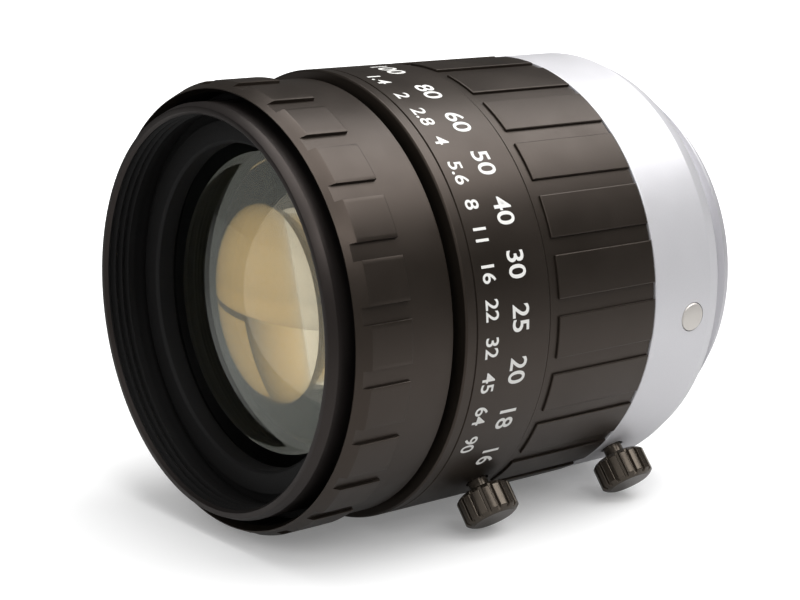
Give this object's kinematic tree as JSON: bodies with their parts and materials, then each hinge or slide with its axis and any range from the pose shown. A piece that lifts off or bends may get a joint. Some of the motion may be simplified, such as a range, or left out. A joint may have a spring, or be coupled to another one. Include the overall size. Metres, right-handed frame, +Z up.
{
  "type": "c-mount machine vision lens",
  "caption": "Fixed-focal machine vision lens with a focus ring, an iris ring with crescent blades, knurled lock screws and a threaded C-mount barrel.",
  "frame": {"origin": "centre of the mount's flange plane, on the optical axis", "axes": "+Y along the optical axis out of the mount thread, -Y towards the front glass, +Z up"},
  "size_m": [0.0295, 0.0346, 0.0294],
  "materials": {
    "black_anodised": "matt",
    "silver_barrel": "satin",
    "pin_steel": "satin",
    "blade_steel": "matt",
    "nut_brass": "satin",
    "front_glass": "coated",
    "inner_glass": "coated"
  },
  "bodies": {
    "mount": {"mount_barrel": "silver_barrel", "guide_pin": "pin_steel", "focus_snap_ring": "pin_steel"},
    "focus_ring_body": {"focus_ring": "black_anodised", "helicoid_nut": "nut_brass"},
    "lens_barrel": {"optical_barrel": "black_anodised", "label_ring": "black_anodised", "front_cell": "black_anodised", "front_retaining_ring": "black_anodised", "doublet_retaining_ring": "black_anodised", "iris_base_plate": "black_anodised", "rear_cell": "black_anodised", "rear_spacer": "black_anodised", "rear_retaining_ring": "black_anodised", "lens_1": "front_glass", "lens_2": "inner_glass", "lens_3": "inner_glass", "lens_4": "inner_glass", "lens_5": "inner_glass", "lens_6": "inner_glass"},
    "iris_ring_body": {"iris_ring": "black_anodised", "iris_cam_ring": "black_anodised", "iris_drive_screw": "pin_steel"},
    "iris_lock_screw_body": {"iris_lock_screw": "black_anodised"},
    "focus_lock_screw_body": {"focus_lock_screw": "black_anodised"},
    "blade_1": {"iris_blade_1": "blade_steel"},
    "blade_2": {"iris_blade_2": "blade_steel"},
    "blade_3": {"iris_blade_3": "blade_steel"},
    "blade_4": {"iris_blade_4": "blade_steel"},
    "blade_5": {"iris_blade_5": "blade_steel"},
    "blade_6": {"iris_blade_6": "blade_steel"},
    "blade_7": {"iris_blade_7": "blade_steel"},
    "blade_8": {"iris_blade_8": "blade_steel"}
  },
  "joints": [
    {"name": "focus_turn", "type": "hinge", "parent": "mount", "child": "focus_ring_body", "pos_m": [0, 0, 0], "axis": [0, -1, 0], "range_deg": [0, 240]},
    {"name": "lens_travel", "type": "slide", "parent": "mount", "child": "lens_barrel", "axis": [0, -1, 0], "range_m": [0, 0.005]},
    {"name": "iris_turn", "type": "hinge", "parent": "lens_barrel", "child": "iris_ring_body", "pos_m": [0, 0, 0], "axis": [0, -1, 0], "range_deg": [0, 48]},
    {"name": "iris_lock_turn", "type": "hinge", "parent": "lens_barrel", "child": "iris_lock_screw_body", "pos_m": [0, -0.0168, 0], "axis": [0.6307, 0, -0.776], "range_deg": [-180, 0]},
    {"name": "focus_lock_turn", "type": "hinge", "parent": "mount", "child": "focus_lock_screw_body", "pos_m": [0, -0.0046, 0], "axis": [0.6307, 0, -0.776], "range_deg": [-180, 0]},
    {"name": "blade_1_turn", "type": "hinge", "parent": "lens_barrel", "child": "blade_1", "pos_m": [0.01037, -0.017, 0.0022], "axis": [0, -1, 0], "range_deg": [0, 35]},
    {"name": "blade_2_turn", "type": "hinge", "parent": "lens_barrel", "child": "blade_2", "pos_m": [0.00577, -0.017, 0.00889], "axis": [0, -1, 0], "range_deg": [0, 35]},
    {"name": "blade_3_turn", "type": "hinge", "parent": "lens_barrel", "child": "blade_3", "pos_m": [-0.0022, -0.017, 0.01037], "axis": [0, -1, 0], "range_deg": [0, 35]},
    {"name": "blade_4_turn", "type": "hinge", "parent": "lens_barrel", "child": "blade_4", "pos_m": [-0.00889, -0.017, 0.00577], "axis": [0, -1, 0], "range_deg": [0, 35]},
    {"name": "blade_5_turn", "type": "hinge", "parent": "lens_barrel", "child": "blade_5", "pos_m": [-0.01037, -0.017, -0.0022], "axis": [0, -1, 0], "range_deg": [0, 35]},
    {"name": "blade_6_turn", "type": "hinge", "parent": "lens_barrel", "child": "blade_6", "pos_m": [-0.00577, -0.017, -0.00889], "axis": [0, -1, 0], "range_deg": [0, 35]},
    {"name": "blade_7_turn", "type": "hinge", "parent": "lens_barrel", "child": "blade_7", "pos_m": [0.0022, -0.017, -0.01037], "axis": [0, -1, 0], "range_deg": [0, 35]},
    {"name": "blade_8_turn", "type": "hinge", "parent": "lens_barrel", "child": "blade_8", "pos_m": [0.00889, -0.017, -0.00577], "axis": [0, -1, 0], "range_deg": [0, 35]}
  ],
  "couplings": [
    {"joint": "focus_turn", "follows": "lens_travel", "rad_per_m": 837.76},
    {"joint": "blade_1_turn", "follows": "iris_turn", "ratio": 0.70832},
    {"joint": "blade_2_turn", "follows": "iris_turn", "ratio": 0.70832},
    {"joint": "blade_3_turn", "follows": "iris_turn", "ratio": 0.70832},
    {"joint": "blade_4_turn", "follows": "iris_turn", "ratio": 0.70832},
    {"joint": "blade_5_turn", "follows": "iris_turn", "ratio": 0.70832},
    {"joint": "blade_6_turn", "follows": "iris_turn", "ratio": 0.70832},
    {"joint": "blade_7_turn", "follows": "iris_turn", "ratio": 0.70832},
    {"joint": "blade_8_turn", "follows": "iris_turn", "ratio": 0.70832}
  ]
}
